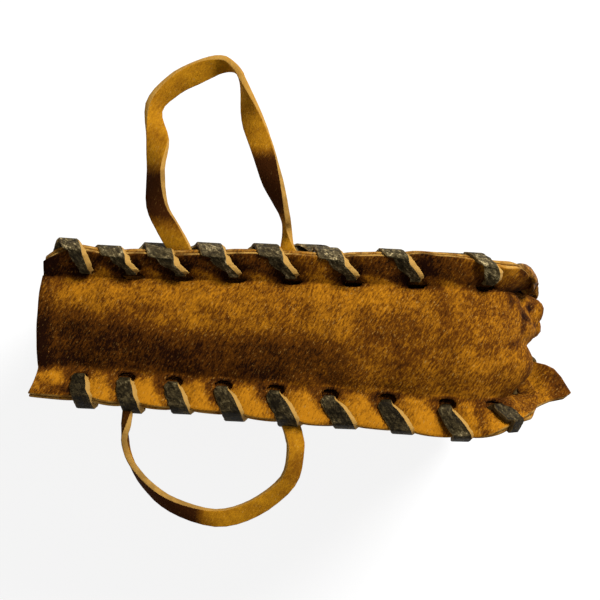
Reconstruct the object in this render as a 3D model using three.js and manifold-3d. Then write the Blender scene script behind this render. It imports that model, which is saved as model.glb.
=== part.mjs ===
// Leather crossbody bag of rough suede, whip-laced along both seams, lying on one side.
// Millimetres, +Z up. Mouth to -X, bottom to +X, one side strip up and the other on the ground.
// The origin is the middle of the flat on the underside.
import * as THREE from "three";
import Module from "manifold-3d";

const wasm = await Module();
wasm.setup();

// Leather
const SUEDE = 2; // thickness of the panels and of the side strip
const GAP = 0.3; // left between two pieces that touch
const LACE_WIDTH = 8.5;
const LACE_NECK = 5; // the lace is squeezed narrower where it goes through a hole
const LACE_THICK = 2.4;
const STRAP_THICK = 2.6;

// Bag
const BAG_WIDTH = 150; // between the two side seams
const MOUTH_X = -96;
const BASE_X = 91; // seam line along the bottom
const CORNER = 24; // radius of the seam at the two bottom corners
const DEPTH_MOUTH = 37; // between front and back seam, at the mouth
const DEPTH_BASE = 45; // and at the bottom
const MOUTH_BOW = 4; // the mouth's edge stands out in the middle by this much
const BELLY_NEAR = 6; // how far the strip swells past the seam line
const BELLY_BASE = 5;
const PANEL_BULGE = 9;
const CRUSH = 9; // the bottom is pushed out next to the back seam

// Seam allowance: the strip and a panel lie together, cut edges outwards
const FLANGE_MOUTH = 14.5;
const FLANGE_BASE = 17;
const LEAN_MOUTH = 37; // degrees from the sideways direction towards the outside
const LEAN_NEAR = 24; // at the end of the side, at the back
const LEAN_NEAR_FRONT = 10;
const LEAN_BASE = 86;
const LEAN_FAR = 9;
const LEAN_EASE = 24; // past the first corner the lean has changed within this length
const LEAN_EASE_FAR = 55; // and changes again this far before the corner on the ground
const LEAN_EAR = 31; // the front corner is bent up by this much more
const EAR = 10; // pointed corner of the front panel, left long past the lacing
const EAR_REACH = 8; // from its point to where it meets the edge, along the seam
const EAR_TRIM = 1.5; // the front edge beside it is cut back by this much
const TRIM = 3.5; // the back corner is cut back by this much

// Lacing, by hand: the stitches widen from the mouth towards the bottom
const HOLE_INSET = 4.2; // hole centre from the seam line
const HOLE_INSET_BASE = 8.8;
const HOLE_LENGTH = LACE_NECK + 1;
const HOLE_WIDTH = LACE_THICK + 1;
const FIRST_HOLE = 15;
const FIRST_PITCH = 17.6;
const PITCH_GROWTH = 0.75; // at the back
const PITCH_GROWTH_FRONT = 0.5;
const SIDE_HOLES = 8; // along each side
const BASE_HOLES = 5;
const CORNER_HOLE = 18.4; // one more at the front, this far past the last beside it
const SLANT = 0.5; // share of a stitch that is spent before the lace crosses the edge
const SLANT_REACH = 10.5; // but never more than this length
const EASE = 0.4; // air between lace and leather

// What follows from these
const RUN = BASE_X - CORNER - MOUTH_X;
const ARC = (CORNER * Math.PI) / 2;
const BOTTOM = BAG_WIDTH - 2 * CORNER;
const SEAM = 2 * RUN + 2 * ARC + BOTTOM;
const SKIN = GAP / 2 + SUEDE; // from the middle of a seam allowance to its face
const LACE_OFF = SKIN + EASE + LACE_THICK / 2;
const STRAP_OFF = SKIN + GAP + STRAP_THICK / 2;
const LACE_OVER_STRAP = STRAP_THICK + GAP;
const GROUND_AIR = 1.2; // under the lace on the side that lies on the ground
const REST_HOLLOW = 0.04; // the flat underside bears on its four corners
const FAR_Z = LACE_OFF + LACE_THICK / 2 + GROUND_AIR +
  FLANGE_BASE * Math.sin(THREE.MathUtils.degToRad(LEAN_FAR));
const NEAR_Z = FAR_Z + BAG_WIDTH;
const MIDDLE_Z = (FAR_Z + NEAR_Z) / 2;

const lerp = THREE.MathUtils.lerp;
const clamp = THREE.MathUtils.clamp;
const smooth = THREE.MathUtils.smoothstep;
const rad = THREE.MathUtils.degToRad;

// The seam line seen from the front: along one side, round the bottom, back along the other.
// s is the length along it from the mouth; turn is 0 on the upper side and 180 degrees below.
function seamAt(s) {
  const turn = clamp((s - RUN) / CORNER, 0, Math.PI / 2) +
    clamp((s - RUN - ARC - BOTTOM) / CORNER, 0, Math.PI / 2);
  const along = new THREE.Vector3(Math.cos(turn), 0, -Math.sin(turn));
  const out = new THREE.Vector3(Math.sin(turn), 0, Math.cos(turn));
  const at = new THREE.Vector3(BASE_X - CORNER, 0, NEAR_Z - CORNER);
  if (s < RUN) at.x += s - RUN;
  const down = clamp(s - RUN - ARC, 0, BOTTOM);
  at.z -= down;
  at.addScaledVector(out, CORNER);
  const back = s - RUN - 2 * ARC - BOTTOM;
  if (back > 0) at.x -= back;
  return { at, along, out };
}

const towardsBase = (x) => clamp((x - MOUTH_X) / (BASE_X - MOUTH_X), 0, 1);
const halfDepth = (x) => lerp(DEPTH_MOUTH, DEPTH_BASE, towardsBase(x)) / 2;
// 0 on the upper side, 1 along the bottom, 2 on the side that lies on the ground.
const leg = (s) => smooth(s, RUN - 4, RUN + ARC + LEAN_EASE) +
  smooth(s, RUN + ARC + BOTTOM - LEAN_EASE_FAR, SEAM - RUN - 6);

const hump = (s, middle, reach) => Math.exp(-(((s - middle) / reach) ** 2));
function lean(s, side) {
  const k = leg(s);
  const bent = side < 0 ? LEAN_EAR * hump(s, RUN + ARC, 20) : 0;
  const near = lerp(LEAN_MOUTH, side < 0 ? LEAN_NEAR_FRONT : LEAN_NEAR, clamp(s / RUN, 0, 1));
  return rad(bent + (k < 1 ? lerp(near, LEAN_BASE, k) : lerp(LEAN_BASE, LEAN_FAR, k - 1)));
}

function flange(s, side) {
  const x = seamAt(s).at.x;
  const wave = 0.5 * Math.sin(s / 11 + side);
  const trim = (side > 0 ? TRIM : EAR_TRIM) * hump(s, RUN + ARC, 26);
  return lerp(FLANGE_MOUTH, FLANGE_BASE, towardsBase(x)) + wave - trim;
}
const ear = (s, side) => (side < 0 ?
  EAR * Math.max(0, 1 - Math.abs(s - RUN - ARC - EAR_REACH / 2) / EAR_REACH) : 0);
const holeInset = (s) => lerp(HOLE_INSET, HOLE_INSET_BASE, 1 - Math.abs(1 - leg(s)));

// A place in the seam allowance: a from the seam line to the cut edge, c through the leather
// towards the strip. side is 1 at the back and -1 at the front.
function trueFrame(s, side) {
  const { at, along, out } = seamAt(s);
  const angle = lean(s, side);
  const across = new THREE.Vector3(0, side, 0);
  const a = across.clone().multiplyScalar(Math.cos(angle)).addScaledVector(out, Math.sin(angle));
  const c = across.clone().multiplyScalar(-Math.sin(angle)).addScaledVector(out, Math.cos(angle));
  return { at: at.clone().setY(side * halfDepth(at.x)), along, a, c };
}

// Stations along the seam line, closer together where it turns.
const STATIONS = [];
const spread = (from, to, count) => {
  for (let i = 0; i < count; i++) STATIONS.push(lerp(from, to, i / count));
};
const TURN = RUN + ARC; // end of the first corner
spread(0, LEAN_EASE, 2);
spread(LEAN_EASE, RUN, 6);
spread(RUN, TURN, 11);
spread(TURN, TURN + EAR_REACH, 4);
spread(TURN + EAR_REACH, TURN + LEAN_EASE, 3);
spread(TURN + LEAN_EASE, SEAM - TURN - LEAN_EASE_FAR, 2);
spread(SEAM - TURN - LEAN_EASE_FAR, SEAM - TURN, 9);
spread(SEAM - TURN, SEAM - RUN, 9);
spread(SEAM - RUN, SEAM - LEAN_EASE, 5);
spread(SEAM - LEAN_EASE, SEAM, 3);
STATIONS.push(SEAM);

// Between two stations the leather is flat, so lace, holes and straps follow it there.
function seamFrame(s, side) {
  const i = clamp(STATIONS.findIndex((at) => at > s), 1, STATIONS.length - 1) - 1;
  const k = (s - STATIONS[i]) / (STATIONS[i + 1] - STATIONS[i]);
  const from = trueFrame(STATIONS[i], side);
  const to = trueFrame(STATIONS[i + 1], side);
  for (const part of ["at", "along", "a", "c"]) from[part].lerp(to[part], k);
  return from;
}

// How far the strip stands out past the seam line at u, from -1 (front seam) to 1 (back seam).
function belly(s, u) {
  const k = leg(s);
  const ridge = k < 1 ? lerp(0.22, -0.3, smooth(s, RUN * 0.6, RUN + ARC)) : lerp(-0.3, 0, k - 1);
  const t = u > ridge ? (u - ridge) / (1 - ridge) : (ridge - u) / (1 + ridge);
  const round = 1 - t ** 2.2;
  const crushed = CRUSH * hump(s, RUN + ARC + 13, 15) * smooth(u, -0.15, 0.3) *
    (1 - smooth(u, 0.6, 0.85));
  const curl = 0.55 * (1 - smooth(s, 0, 26));
  if (k < 1) return crushed + lerp(BELLY_NEAR * (1 - curl), BELLY_BASE, k) * round;
  const flat = Math.min(1, 1.4 * (1 - Math.abs(u) ** 3));
  const end = clamp(Math.max(1 - (s - SEAM + RUN) / 20, 1 - (SEAM - s) / 6), 0, 1);
  const hollow = REST_HOLLOW * (1 - end * smooth(Math.abs(u), 0.2, 0.5));
  return lerp(crushed + BELLY_BASE * round, (FAR_Z - SUEDE) * flat - hollow, k - 1);
}

// Offsets a chain of points sideways, in the plane of a section, with mitred corners.
function offsetChain(chain, by) {
  return chain.map((p, i) => {
    const before = chain[Math.max(i - 1, 0)];
    const after = chain[Math.min(i + 1, chain.length - 1)];
    const d0 = new THREE.Vector2().subVectors(i ? p : after, i ? before : p).normalize();
    const d1 = new THREE.Vector2().subVectors(i < chain.length - 1 ? after : p,
      i < chain.length - 1 ? p : before).normalize();
    const n = new THREE.Vector2(-d0.y - d1.y, d0.x + d1.x).normalize();
    const spread = Math.max(0.5, n.dot(new THREE.Vector2(-d0.y, d0.x)));
    return p.clone().addScaledVector(n, by / spread);
  });
}

// A closed body from two skins of leather, face and back, each a grid of station by row.
// Points that fall together are welded.
function sheetSolid(face, back) {
  const points = [];
  const seen = new Map();
  const id = (p) => {
    const key = [p.x, p.y, p.z].map((v) => Math.round(v * 1000)).join();
    if (!seen.has(key)) {
      seen.set(key, points.length / 3);
      points.push(p.x, p.y, p.z);
    }
    return seen.get(key);
  };
  const tris = [];
  const tri = (a, b, c) => {
    if (a !== b && b !== c && c !== a) tris.push(a, b, c);
  };
  const quad = (a, b, c, d) => {
    tri(a, b, c);
    tri(a, c, d);
  };
  const f = face.map((row) => row.map(id));
  const g = back.map((row) => row.map(id));
  const m = f.length - 1;
  const n = f[0].length - 1;
  for (let i = 0; i < m; i++)
    for (let j = 0; j < n; j++) {
      quad(f[i][j], f[i + 1][j], f[i + 1][j + 1], f[i][j + 1]);
      quad(g[i][j], g[i][j + 1], g[i + 1][j + 1], g[i + 1][j]);
    }
  for (let i = 0; i < m; i++) {
    quad(f[i][0], g[i][0], g[i + 1][0], f[i + 1][0]);
    if (f[i][n] !== g[i][n]) quad(f[i][n], f[i + 1][n], g[i + 1][n], g[i][n]);
  }
  for (let j = 0; j < n; j++) {
    quad(f[0][j], f[0][j + 1], g[0][j + 1], g[0][j]);
    quad(f[m][j], g[m][j], g[m][j + 1], f[m][j + 1]);
  }
  return toSolid(points, tris);
}

function toSolid(points, tris) {
  const geometry = new THREE.BufferGeometry();
  geometry.setAttribute("position", new THREE.Float32BufferAttribute(points, 3));
  geometry.setIndex(tris);
  return solidFrom(geometry);
}

function solidFrom(geometry) {
  const made = (flip) => {
    const index = new Uint32Array(geometry.index.array);
    if (flip)
      for (let i = 0; i < index.length; i += 3)
        [index[i + 1], index[i + 2]] = [index[i + 2], index[i + 1]];
    return new wasm.Manifold(new wasm.Mesh({
      numProp: 3,
      vertProperties: new Float32Array(geometry.attributes.position.array),
      triVerts: index,
    }));
  };
  const solid = made(false);
  return solid.volume() < 0 ? made(true) : solid;
}

// The edge of the mouth is bowed from one cut edge to the other.
function mouthBow(s, y) {
  const end = 1 - smooth(Math.min(s, SEAM - s), 0, 30);
  const half = DEPTH_MOUTH / 2 + FLANGE_MOUTH;
  return MOUTH_BOW * end * Math.max(0, 1 - (y / half) ** 2);
}

// Side strip: one length of suede round both sides and the bottom.
const BELLY_ROWS = [-0.8, -0.55, 0, 0.55, 0.8];
function stripSection(s) {
  const { at, out } = seamAt(s);
  const half = halfDepth(at.x);
  const edge = (side) => [flange(s, side), 0].map((a) => {
    const angle = lean(s, side);
    return new THREE.Vector2(
      side * (half + a * Math.cos(angle) - (GAP / 2) * Math.sin(angle)),
      a * Math.sin(angle) + (GAP / 2) * Math.cos(angle));
  });
  const inside = [
    ...edge(1),
    ...BELLY_ROWS.map((u) => new THREE.Vector2(-u * half, belly(s, -u))),
    ...edge(-1).reverse(),
  ];
  const outside = offsetChain(inside, -SUEDE);
  const place = (p, least) => {
    const q = at.clone().setY(p.x).addScaledVector(out, p.y);
    return q.set(q.x - mouthBow(s, p.x), q.y, Math.max(q.z, least));
  };
  return {
    inside: inside.map((p) => place(p, SUEDE)),
    outside: outside.map((p) => place(p, 0)),
  };
}

// Panel: its rim lies against the strip, its middle runs in to a line half way up the bag.
const WALL_ROWS = [0.08, 0.3, 0.62, 1];
function panelSection(s, side) {
  const { at, out } = seamAt(s);
  const half = halfDepth(at.x);
  const angle = lean(s, side);
  const long = flange(s, side) + ear(s, side);
  const spine = new THREE.Vector3(Math.min(at.x, BASE_X - BAG_WIDTH / 2), 0, MIDDLE_Z);
  const reach = spine.clone().sub(at).length();
  const inside = [long, 0].map((a) => new THREE.Vector2(
    half + a * Math.cos(angle) + (GAP / 2) * Math.sin(angle),
    a * Math.sin(angle) - (GAP / 2) * Math.cos(angle)));
  WALL_ROWS.forEach((e) => {
    const y = lerp(half, halfDepth(spine.x), e) + PANEL_BULGE * e * (2 - e);
    inside.push(new THREE.Vector2(y, -e * reach));
  });
  const outside = offsetChain(inside, SUEDE);
  const crown = inside[inside.length - 1];
  outside[outside.length - 1].set(crown.x + SUEDE, crown.y);
  const inwards = spine.clone().sub(at).normalize();
  const place = (p) => {
    const q = at.clone().setY(side * p.x)
      .addScaledVector(p.y > 0 ? out : inwards, p.y > 0 ? p.y : -p.y);
    return q.setX(q.x - mouthBow(s, p.x));
  };
  const rows = (chain) => (side > 0 ? chain : chain.reverse()).map(place);
  return { inside: rows(inside), outside: rows(outside) };
}

// A flat band along a path: each step has a place, the way its face looks, and a width.
function bandSolid(steps, thick) {
  const points = [];
  const tris = [];
  steps.forEach((step, i) => {
    const ahead = steps[Math.min(i + 1, steps.length - 1)].at.clone()
      .sub(steps[Math.max(i - 1, 0)].at).normalize();
    const wide = new THREE.Vector3().crossVectors(step.face, ahead).normalize();
    const face = new THREE.Vector3().crossVectors(ahead, wide).normalize();
    for (const [w, t] of [[-1, -1], [1, -1], [1, 1], [-1, 1]]) {
      const p = step.at.clone().addScaledVector(wide, (w * step.width) / 2)
        .addScaledVector(face, (t * thick) / 2);
      points.push(p.x, p.y, p.z);
    }
  });
  for (let i = 0; i + 1 < steps.length; i++)
    for (let k = 0; k < 4; k++) {
      const a = 4 * i + k;
      const b = 4 * i + ((k + 1) % 4);
      tris.push(a, a + 4, b + 4, a, b + 4, b);
    }
  const last = points.length / 3 - 4;
  tris.push(0, 1, 2, 0, 2, 3, last, last + 2, last + 1, last, last + 3, last + 2);
  return toSolid(points, tris);
}

// Hole places along a seam: down one side, across the bottom, up the other side.
function holes(growth, ...corner) {
  const side = (grow) => Array.from({ length: SIDE_HOLES },
    (_, k) => FIRST_HOLE + FIRST_PITCH * k + grow * k * k);
  const near = side(growth);
  for (const step of corner) near.push(near[near.length - 1] + step);
  const far = side(PITCH_GROWTH).map((s) => SEAM - s).reverse();
  const base = Array.from({ length: BASE_HOLES },
    (_, k) => lerp(near[near.length - 1], far[0], (k + 1) / (BASE_HOLES + 1)));
  return [...near, ...base, ...far];
}
const HOLES = { 1: holes(PITCH_GROWTH), [-1]: holes(PITCH_GROWTH_FRONT, CORNER_HOLE) };

// One punched slot, square to the seam allowance.
function punch(s, side, deep) {
  const f = seamFrame(s, side);
  const slot = new THREE.BoxGeometry(HOLE_LENGTH, HOLE_WIDTH, deep);
  const along = new THREE.Vector3().crossVectors(f.a, f.c);
  slot.applyMatrix4(new THREE.Matrix4().makeBasis(along, f.a, f.c)
    .setPosition(f.at.clone().addScaledVector(f.a, holeInset(s))));
  slot.deleteAttribute("normal");
  slot.deleteAttribute("uv");
  const p = slot.attributes.position;
  const found = new Map();
  const points = [];
  const ids = [];
  for (let i = 0; i < p.count; i++) {
    const key = [p.getX(i), p.getY(i), p.getZ(i)].map((v) => v.toFixed(3)).join();
    if (!found.has(key)) {
      found.set(key, points.length / 3);
      points.push(p.getX(i), p.getY(i), p.getZ(i));
    }
    ids.push(found.get(key));
  }
  return toSolid(points, Array.from(slot.index.array, (i) => ids[i]));
}

// Straps: the feet of each lie on the panel's seam allowance and the lace goes through them.
// A foot: its hole, then its stations out from the seam line with how far it slews along the
// bag, how far it drops away below the panel and its roll there.
// The route: reach along the bag, out from it and above the seam line, and the roll of the band.
const STRAPS = {
  upper_strap: {
    side: 1,
    width: 9,
    feet: [
      { hole: 2, lie: [[2.4, 1, 0, 0], [8, 1, 0, 0], [15, 0.6, 0, 0], [21, -2.2, 1.4, 4]] },
      { hole: 4, lie: [[2.4, 0, 0, 0], [8, 0, 0, 0], [13.5, -2.4, 0.6, 6], [20, -3, 4.8, 70]] },
    ],
    route: [[-54, 49, 8, 8], [-55, 65, 10, 12], [-55, 75, 9, 20], [-57.4, 88, 7, 58],
      [-50, 97.5, 6, 42], [-40, 103.5, 6, 30], [-31, 107, 6, 62], [-25, 105, 7, 92],
      [-22, 99, 8, 84], [-18, 86, 9, 30], [-13, 73.5, 10, 10], [-8, 60, 9, 38], [-3, 48, 5, 78]],
  },
  lower_strap: {
    side: -1,
    width: 7.2,
    feet: [
      { hole: 1, lie: [[2.4, 0, 0, 0], [8, 0, 0, 0], [13, 1.2, 0.2, 0], [20, 1, 3, 56]] },
      { hole: 4, lie: [[2.4, 0, 0, 0], [8, 0, 0, 0], [14, 1, 0, 0], [20, 2.4, 1.2, 10]] },
    ],
    route: [[-62.4, -45, 3, 88], [-60, -54, 1, 84], [-53, -64, -1, 64], [-42, -72, -2, 42],
      [-24.5, -76.5, -3, 16], [-9, -71.5, -2, 12], [2.6, -59.5, 1, 24], [4.6, -47, 4, 24]],
  },
};

function strapSteps({ side, width, feet, route }) {
  const foot = ({ hole, lie }) => lie.map(([a, slew, drop, roll]) => {
    const f = seamFrame(HOLES[side][hole] + slew, side);
    return {
      at: f.at.addScaledVector(f.a, a).addScaledVector(f.c, -STRAP_OFF - drop),
      face: f.c,
      roll: rad(roll),
    };
  });
  const knots = [
    ...foot(feet[0]),
    ...route.map(([x, y, z, roll]) => ({
      at: new THREE.Vector3(x, y, NEAR_Z + z),
      face: new THREE.Vector3(0, 0, 1),
      roll: rad(roll),
    })),
    ...foot(feet[1]).reverse(),
  ];
  const curve = new THREE.CatmullRomCurve3(knots.map((knot) => knot.at), false, "centripetal");
  const steps = [];
  const each = 3;
  const last = knots.length - 1;
  for (let i = 0; i <= last * each; i++) {
    const t = i / (last * each);
    const k = Math.min(Math.floor(i / each), last - 1);
    if ((k < 2 || k >= last - 2) && i % each && i !== last * each) continue;
    const between = i / each - k;
    const ahead = curve.getTangent(t);
    const face = knots[k].face.clone().lerp(knots[k + 1].face, between);
    face.addScaledVector(ahead, -face.dot(ahead)).normalize();
    face.applyAxisAngle(ahead, lerp(knots[k].roll, knots[k + 1].roll, between));
    steps.push({ at: curve.getPoint(t), face, width });
  }
  return steps;
}

const strapAt = (side) => new Set(Object.values(STRAPS)
  .filter((strap) => strap.side === side)
  .flatMap((strap) => strap.feet.map((foot) => foot.hole)));

// Lace: through a hole to the strip's side, slanting up over the cut edges, down the panel's
// side to the next hole. The way it travels is set by the hand that laced it.
function laceSteps(side) {
  const order = HOLES[side].map((s, i) => ({ s, strap: strapAt(side).has(i) }));
  if (side > 0) order.reverse();
  const way = side > 0 ? -1 : 1;
  const steps = [];
  const add = (s, a, c, na, nc, width) => {
    const f = seamFrame(s, side);
    const twist = Math.abs(lean(s + 6, side) - lean(s - 6, side));
    const slack = 1.45 * Math.min(1, twist / rad(6)) * nc;
    steps.push({
      at: f.at.addScaledVector(f.a, a).addScaledVector(f.c, c + slack),
      face: f.a.multiplyScalar(na).addScaledVector(f.c, nc),
      width,
    });
  };
  const bend = HOLE_WIDTH / 2;
  // Where the seam allowance twists, a run of lace is laid in short lengths.
  const run = (s0, a0, s1, a1, c) => {
    const turned = seamAt(s0).along.angleTo(seamAt(s1).along);
    if (Math.abs(lean(s0, side) - lean(s1, side)) + turned < rad(3)) return;
    for (const k of [0.25, 0.5, 0.75])
      add(lerp(s0, s1, k), lerp(a0, a1, k), c, 0, Math.sign(c), lerp(LACE_NECK + 1, LACE_WIDTH,
        a1 > a0 ? k : 1 - k));
  };
  const edgeAt = (s) => Math.max(...[-5, 0, 5].map((d) =>
    flange(s + d, side) + ear(s + d, side)));
  const over = (s, off) => {
    const edge = edgeAt(s);
    add(s - way * 0.6, edge - 0.3, LACE_OFF, 0, 1, LACE_WIDTH);
    add(s - way * 0.3, edge + 1.5, LACE_OFF - 0.4, 0.6, 0.8, LACE_WIDTH);
    add(s, edge + 1.9, (LACE_OFF - off) / 2, 1, 0, LACE_WIDTH);
    add(s + way * 0.3, edge + 1.5, 0.4 - off, 0.6, -0.8, LACE_WIDTH);
    add(s + way * 0.6, edge - 0.3, -off, 0, -1, LACE_WIDTH);
  };
  const offAt = (i) => LACE_OFF + (order[i].strap ? LACE_OVER_STRAP : 0);
  const { s: start } = order[0];
  add(start - way * 7, flange(start, side) - 3, -offAt(0), 0, -1, LACE_WIDTH);
  order.forEach(({ s }, i) => {
    const a = holeInset(s);
    add(s, a + bend, -offAt(i), 0, -1, LACE_NECK + 1);
    add(s, a + bend * 0.3, bend * 0.3 - offAt(i), -0.7, -0.7, LACE_NECK);
    add(s, a, 0, -1, 0, LACE_NECK);
    add(s, a + bend * 0.3, LACE_OFF - bend * 0.3, -0.7, 0.7, LACE_NECK);
    add(s, a + bend, LACE_OFF, 0, 1, LACE_NECK + 1);
    const next = order[i + 1];
    const gap = next ? next.s - s : way * FIRST_PITCH;
    const top = s + way * Math.min(Math.abs(gap) * SLANT, SLANT_REACH);
    run(s, a + bend, top - way * 0.6, edgeAt(top) - 0.3, LACE_OFF);
    over(top, next ? Math.max(offAt(i), offAt(i + 1)) : LACE_OFF);
    if (next)
      run(top + way * 0.6, edgeAt(top) - 0.3, next.s, holeInset(next.s) + bend, -offAt(i + 1));
    if (!next) add(s + way * 11, a + 6, -LACE_OFF, 0, -1, LACE_WIDTH - 2);
  });
  return steps;
}

const suede = (colour) => new THREE.MeshStandardMaterial({ color: colour, roughness: 0.95 });
const group = new THREE.Group();
group.name = "leather_crossbody_bag";
function addPiece(name, solid, material) {
  const mesh = solid.getMesh();
  const geometry = new THREE.BufferGeometry();
  geometry.setAttribute("position", new THREE.Float32BufferAttribute(mesh.vertProperties, 3));
  geometry.setIndex(new THREE.BufferAttribute(mesh.triVerts, 1));
  geometry.computeVertexNormals();
  const piece = new THREE.Mesh(geometry, material);
  piece.name = name;
  group.add(piece);
}

const sides = [["back", 1], ["front", -1]];
const strip = STATIONS.map(stripSection);
let gusset = sheetSolid(strip.map((p) => p.outside), strip.map((p) => p.inside));
for (const [, side] of sides)
  for (const s of HOLES[side]) gusset = gusset.subtract(punch(s, side, 2 * SKIN + 2));
addPiece("gusset", gusset, suede(0x8a5a10));

for (const [name, side] of sides) {
  const rows = STATIONS.map((s) => panelSection(s, side));
  let panel = sheetSolid(rows.map((p) => p.outside), rows.map((p) => p.inside));
  for (const s of HOLES[side]) panel = panel.subtract(punch(s, side, 2 * SKIN + 2));
  addPiece(`${name}_panel`, panel, suede(0x80520e));
  addPiece(`${name}_lace`, bandSolid(laceSteps(side), LACE_THICK),
    new THREE.MeshStandardMaterial({ color: 0x4a4636, roughness: 0.6 }));
}

for (const [name, strap] of Object.entries(STRAPS)) {
  let band = bandSolid(strapSteps(strap), STRAP_THICK);
  for (const { hole } of strap.feet)
    band = band.subtract(punch(HOLES[strap.side][hole], strap.side, 2 * (STRAP_OFF + STRAP_THICK)));
  addPiece(name, band, suede(0x9a6a14));
}

export default group;
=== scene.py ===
"""Looks of a suede crossbody bag, whip-laced along both seams and lying on one side."""
import math

import bmesh
import bpy
import numpy as np
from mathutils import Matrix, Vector, noise


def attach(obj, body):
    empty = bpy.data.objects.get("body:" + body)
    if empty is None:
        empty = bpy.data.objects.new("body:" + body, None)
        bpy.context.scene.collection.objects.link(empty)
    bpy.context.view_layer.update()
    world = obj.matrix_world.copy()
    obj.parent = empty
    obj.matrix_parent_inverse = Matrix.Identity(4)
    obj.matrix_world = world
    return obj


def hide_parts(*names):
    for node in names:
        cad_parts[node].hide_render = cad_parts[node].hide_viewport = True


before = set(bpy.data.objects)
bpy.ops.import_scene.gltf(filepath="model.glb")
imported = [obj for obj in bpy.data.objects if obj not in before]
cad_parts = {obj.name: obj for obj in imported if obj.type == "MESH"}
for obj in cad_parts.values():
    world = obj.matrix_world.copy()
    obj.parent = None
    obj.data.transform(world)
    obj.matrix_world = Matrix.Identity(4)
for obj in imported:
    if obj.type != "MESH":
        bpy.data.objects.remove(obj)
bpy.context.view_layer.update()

MM = 0.001  # sizes below are millimetres, meshes are metres
FRONT, BACK = -1, 1  # the two seams, by the side of the bag that they are on

# Leather
SUEDE = 2.0
GAP = 0.3  # air between two layers
LACE_WIDTH = 8.5
LACE_NECK = 5.0  # the lace is this wide where it is drawn through a hole
LACE_THICK = 2.4
LACE_SKIVE = 1.7  # one cut edge of the lace slopes by this much
LACE_ROLL = 27.0  # degrees that a stitch is tipped, which shows that edge
STRAP_THICK = 2.6

# Bag
BAG_WIDTH = 150.0
MOUTH_X = -96.0
BASE_X = 91.0
CORNER = 24.0  # radius of the two bottom corners
DEPTH_MOUTH = 37.0
DEPTH_BASE = 45.0
MOUTH_BOW = 4.0
BELLY_NEAR = 6.0  # the strip swells by this much on the upper side
BELLY_BASE = 5.0  # and by this much along the bottom
PANEL_BULGE = 9.0

# Seam allowance: its width, and how far it stands up from the strip in degrees
FLANGE_MOUTH = 14.5
FLANGE_BASE = 17.0
LEAN_MOUTH = 37.0
LEAN_NEAR = 24.0
LEAN_NEAR_FRONT = 10.0
LEAN_BASE = 86.0
LEAN_FAR = 9.0
LEAN_EASE = 24.0  # the lean changes until this far past the first corner
LEAN_EASE_FAR = 55.0  # and again from this far before the second
EAR_EDGE = ((-3, -0.5, 1.5, 6, 9, 12, 16, 19), (0, 7, 16, 12, 8, 5, 5, 0))  # past the corner
EAR_TRIM = 1.5  # the front allowance is cut back at the first corner
TRIM = 3.5  # and the back one
TRIM_REACH = 26.0

# Lacing
HOLE_INSET = 4.2  # from the seam line
HOLE_INSET_BASE = 8.8
HOLE_LENGTH = LACE_NECK + 1
HOLE_WIDTH = LACE_THICK + 1
FIRST_HOLE = 15.0  # from the mouth
FIRST_PITCH = 17.6
PITCH_GROWTH = 0.75  # the stitches spread towards the bottom
PITCH_GROWTH_FRONT = 0.5
CORNER_HOLE = 18.4  # one more front hole, this far on
SIDE_HOLES = 8
BASE_HOLES = 5
SLANT = 0.5  # a stitch slants over this share of the way to the next hole
SLANT_REACH = 10.5  # but no further than this
EASE = 0.4
GROUND_AIR = 1.2

# What follows from these
RUN = BASE_X - CORNER - MOUTH_X
ARC = CORNER * math.pi / 2
TURNED = RUN + ARC  # along the seam to the end of the first corner
BOTTOM = BAG_WIDTH - 2 * CORNER
SEAM = 2 * RUN + 2 * ARC + BOTTOM
SKIN = GAP / 2 + SUEDE
LACE_OFF = SKIN + EASE + LACE_THICK / 2
STRAP_OFF = SKIN + GAP + STRAP_THICK / 2
LACE_OVER_STRAP = STRAP_THICK + GAP
FAR_Z = LACE_OFF + LACE_THICK / 2 + GROUND_AIR + FLANGE_BASE * math.sin(math.radians(LEAN_FAR))
NEAR_Z = FAR_Z + BAG_WIDTH
MIDDLE_Z = (FAR_Z + NEAR_Z) / 2

# Meshes
STATIONS = 361  # along the seam
FLANGE_ROWS = 15
BELLY_ROWS = 39
WALL_ROWS = 26
SLOT_SIDES = 12
MERGE = 1e-7  # metres
EDGE_ROUND = 0.3

# Fine shape of the leather, which the solids leave out
RIPPLE = 0.8  # the cut edges wave by this much
NIP = 1.1  # and are drawn in where a stitch goes over them
NIP_REACH = 4.5
SHORT = {FRONT: 1.4, BACK: 2.4}  # the allowances are pulled in by the lacing
PUFF = 0.9  # the strip lifts between two stitches
PUCKER = 2.4  # the belly is drawn in at each hole
PUCKER_REACH = 6.5
CRUMPLE = 1.6  # at the bottom corner
CRUSH = 11.0  # the bottom is pushed out in folds behind that corner
EAR_BENDS = ((31.0, 0, 20), (45.0, 12, 5.5), (-5.0, 0, 7))  # degrees, past the corner, reach
DOME = 6.0  # the bottom corner bulges out on the front side
DENT = 4.0  # and is pressed in where the ear folds over it
MOUTH_EAR = 5.0  # the front corner of the mouth points out
MOUTH_PEAK = 3.0  # the back allowance stands up at the first stitch
MOUTH_CUT = 5.0  # and its corner at the mouth is cut off
HOLE_STRETCH = {FRONT: 1.3, BACK: 1.5}  # the holes are pulled wide
HOLE_DROP = {FRONT: 0.9, BACK: 2.1}  # and towards the bag
HOLE_DRAG = {FRONT: 0.0, BACK: 0.4}  # and along it
HOLE_TIGHT = 0.9  # the hidden holes close round the lace
LACE_LOOK = 2.0  # the lace is pressed flat by its pull
LACE_LIE = SKIN + 0.15 + LACE_LOOK / 2  # its middle, from the middle of the seam
LACE_SLACK = 0.6  # the lace stands off where the allowance twists
LACE_BREAK = 0.7  # it starts to turn this far before the cut edge
MOST_SLANT = math.radians(48)
LEAD = {FRONT: 1.56, BACK: 2.6}  # the lace still slants by this much as it goes over the edge
TUCK = {FRONT: 2.8, BACK: 0.7}  # and lies flat again this far below it
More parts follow.
